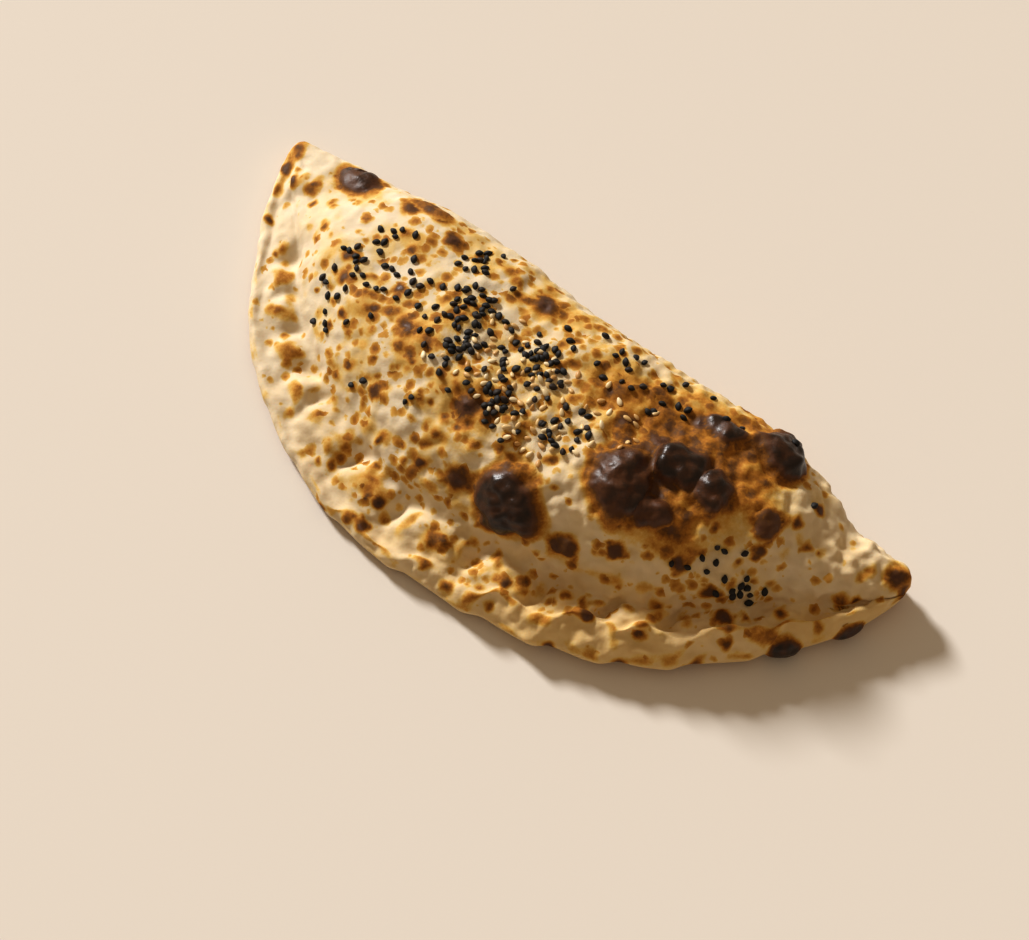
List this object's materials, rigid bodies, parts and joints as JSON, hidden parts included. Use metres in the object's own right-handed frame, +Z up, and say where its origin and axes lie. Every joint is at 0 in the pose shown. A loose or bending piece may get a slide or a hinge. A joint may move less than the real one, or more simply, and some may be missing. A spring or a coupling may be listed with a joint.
{
  "type": "samosa",
  "caption": "Large half-moon baked samosa with a crimped rim, blistered crust and scattered seeds, filled and sealed.",
  "frame": {"origin": "middle of the flat underside of the bounding box, where the samosa rests", "axes": "+X from the sharp tip to the puffed tip along the length, +Y towards the folded edge, +Z up"},
  "size_m": [0.2387, 0.1027, 0.0398],
  "materials": {
    "crust": "matte baked dough, floury cream to toasted brown",
    "nigella": "matte black seed coat",
    "sesame": "satin cream seed coat"
  },
  "bodies": {
    "root": {"samosa": "crust"}
  },
  "joints": []
}
